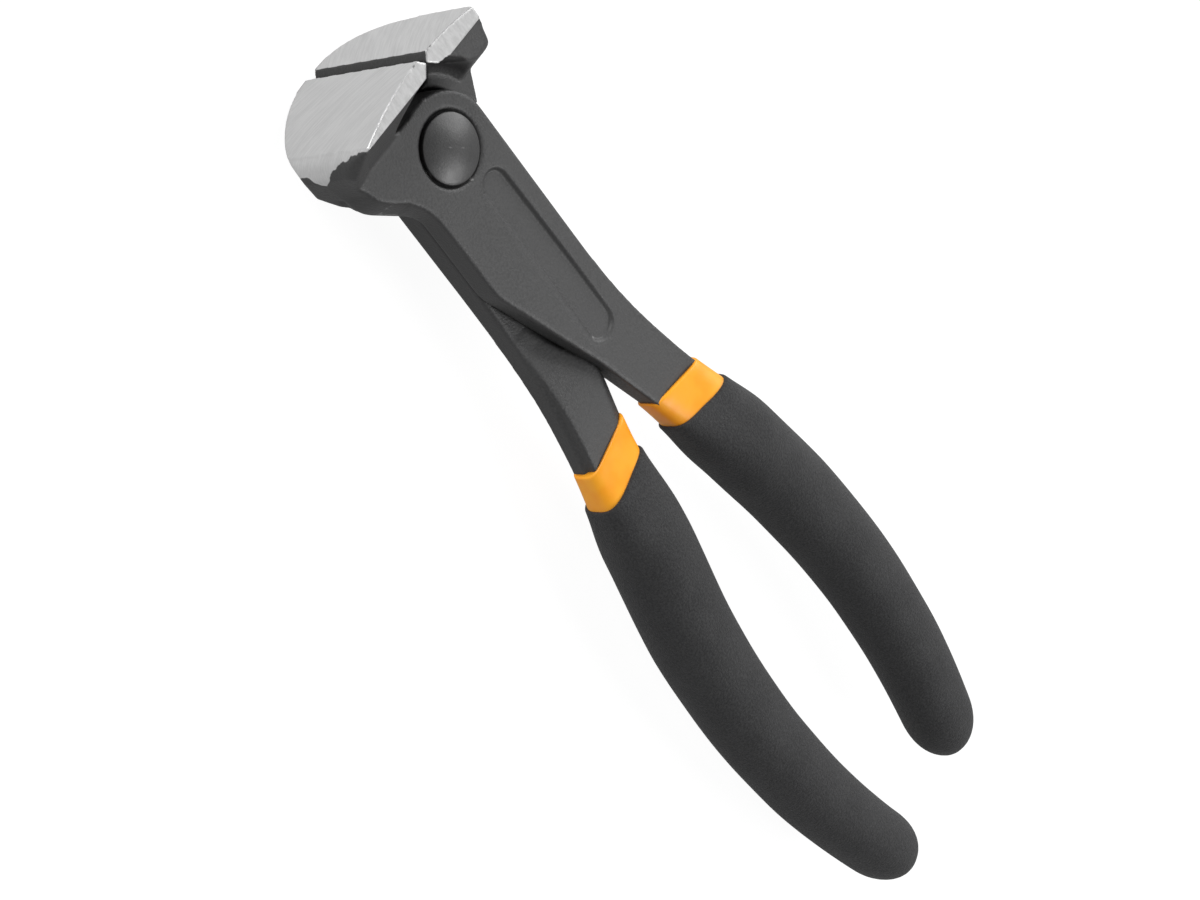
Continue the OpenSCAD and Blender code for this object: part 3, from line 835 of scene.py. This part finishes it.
def dip(name, handle, start, depth, sides, lip, waver=0.0, thinned=0.0):
    """One dip: its rounded lip at the collar, its skin, thinned towards the lip, and its rounded tail."""
    lip_rings, skin_rings, tip_rings, run_out_l = 6, 96, 14, 12
    # The last ring stops short of the tail's very end
    tip_steps = 14.4
    rings = []
    for i in range(lip_rings + 1):
        a = math.radians(90 * i / lip_rings)
        rings.append(handle.ring(start + lip * (1 - math.cos(a)), depth + thinned + lip * (1 - math.sin(a)),
                                 sides))
    body = handle.length - handle.tip_l
    for i in range(1, skin_rings + 1):
        s = start + lip + (body - start - lip) * i / skin_rings
        run_out = ease((s - start - lip) / run_out_l)
        rings.append(handle.ring(s, depth + thinned * (1 - run_out), sides, waver * run_out))
    for i in range(1, tip_rings + 1):
        s = body + (handle.tip_l - depth) * math.sin(math.radians(90 * i / tip_steps))
        rings.append(handle.ring(s, depth, sides, waver))
    first, last = ([sum(ring, Vector()) / sides] for ring in (rings[0], rings[-1]))
    return place_mesh(name, ring_mesh(name, [first, *rings, last]))


# ---------------------------------------------------------------------------
# Stage
# ---------------------------------------------------------------------------

FLOOR_GREY, FLOOR_HALF, FLOOR_DROP = 0.16, 3.0, 0.2 * MM
# Strength of the floor's and the room's white to a ray that lights, one that mirrors, and the camera's
FLOOR_GLOW = (0.5, 0.28, 0.92)
ROOM_GLOW = (0.2, 0.45, 1.0)
# Name, place, width and power of each lamp, and the spot that they face
LAMPS = (("head", (-0.10, 0.95, 0.40), 0.6, 8.0),
         ("right", (0.80, 0.10, 0.50), 0.7, 6.0),
         ("tail", (0.10, -0.60, 0.70), 0.4, 3.8))
LAMP_AIM = Vector((0.0, 0.02, 0.01))


def stage_floor():
    """Plain pale floor under the back of the jaws; it looks white and still takes the shadow."""
    mesh = bpy.data.meshes.new("floor")
    work = bmesh.new()
    bmesh.ops.create_grid(work, x_segments=1, y_segments=1, size=FLOOR_HALF)
    work.to_mesh(mesh)
    work.free()
    floor = bpy.data.objects.new("floor", mesh)
    floor.location = (0.0, 0.0, -FLOOR_DROP)
    bpy.context.scene.collection.objects.link(floor)
    material = bpy.data.materials.new("floor_white")
    material.use_nodes = True
    tree = material.node_tree
    tree.nodes.clear()
    out = add(tree, "ShaderNodeOutputMaterial")
    matt = add(tree, "ShaderNodeBsdfDiffuse")
    matt.inputs["Color"].default_value = (*grey(FLOOR_GREY), 1.0)
    glow = add(tree, "ShaderNodeEmission")
    glow.inputs["Color"].default_value = (*grey(1.0), 1.0)
    seen = add(tree, "ShaderNodeLightPath")
    lights, mirrors, shows = FLOOR_GLOW
    unseen = mix_value(tree, seen.outputs["Is Glossy Ray"], lights, mirrors)
    tree.links.new(mix_value(tree, seen.outputs["Is Camera Ray"], unseen, shows), glow.inputs["Strength"])
    both = add(tree, "ShaderNodeAddShader")
    tree.links.new(matt.outputs[0], both.inputs[0])
    tree.links.new(glow.outputs[0], both.inputs[1])
    tree.links.new(both.outputs[0], out.inputs["Surface"])
    mesh.materials.append(material)


def studio_light():
    """White room with three soft lamps: beyond the head, at the right and over the tails."""
    world = bpy.data.worlds.new("studio")
    bpy.context.scene.world = world
    world.use_nodes = True
    tree = world.node_tree
    back = tree.nodes["Background"]
    back.inputs["Color"].default_value = (*grey(1.0), 1.0)
    seen = add(tree, "ShaderNodeLightPath")
    lights, mirrors, shows = ROOM_GLOW
    unseen = mix_value(tree, seen.outputs["Is Glossy Ray"], lights, mirrors)
    straight = math_node(tree, "MAXIMUM", seen.outputs["Is Camera Ray"], seen.outputs["Is Transmission Ray"])
    tree.links.new(mix_value(tree, straight, unseen, shows), back.inputs["Strength"])
    for name, place, size, power in LAMPS:
        data = bpy.data.lights.new(name, "AREA")
        data.energy = power
        data.size = size
        lamp = bpy.data.objects.new(name, data)
        lamp.location = place
        lamp.rotation_mode = "QUATERNION"
        lamp.rotation_quaternion = (LAMP_AIM - Vector(place)).to_track_quat("-Z", "Y")
        bpy.context.scene.collection.objects.link(lamp)


# ---------------------------------------------------------------------------
# The nippers
# ---------------------------------------------------------------------------

photo_camera()
bpy.context.scene.view_settings.view_transform = "Standard"

groups = {"grain": grain_group(), "brushed": brushed_group(), "ground": ground_zone_group(),
          "scuff_shade": scuff_and_shade_group()}

# Body, half, whether it is turned over, reach of its handle, span of its jaw, and its first dip's start
# from the collar's and slant
HALVES = (("front_handle", "front", False, FRONT_REACH, FRONT_SPAN, 1.9, 0.5),
          ("rear_handle", "rear", True, REAR_REACH, REAR_SPAN, -0.9, 1.1))

for body, half, turned, reach, span, dip_at, dip_slant in HALVES:
    handle = Handle(reach, turned, dip_at, dip_slant)
    forging = forged_shell(half + "_forging", half + "_half", turned, handle)
    forging.data.materials.append(forged_material(half + "_forging_black", groups, turned, span))
    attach(forging, body)
    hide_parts(half + "_half")
    collar = dip(half + "_collar", handle, dip_at, handle.skin_t, sides=72, lip=0.5)
    collar.data.materials.append(collar_material(groups, turned))
    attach(collar, body)
    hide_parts(half + "_grip_liner")
    skin = dip(half + "_dipped_grip", handle, dip_at + handle.collar_l, 0.0, sides=96, lip=0.55,
               waver=0.25, thinned=0.6)
    skin.data.materials.append(grip_material(groups, turned))
    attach(skin, body)
    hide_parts(half + "_grip")

rivet = rivet_lathe()
rivet.data.materials.append(rivet_material(groups))
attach(rivet, "rear_handle")
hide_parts("pivot_rivet")

stage_floor()
studio_light()
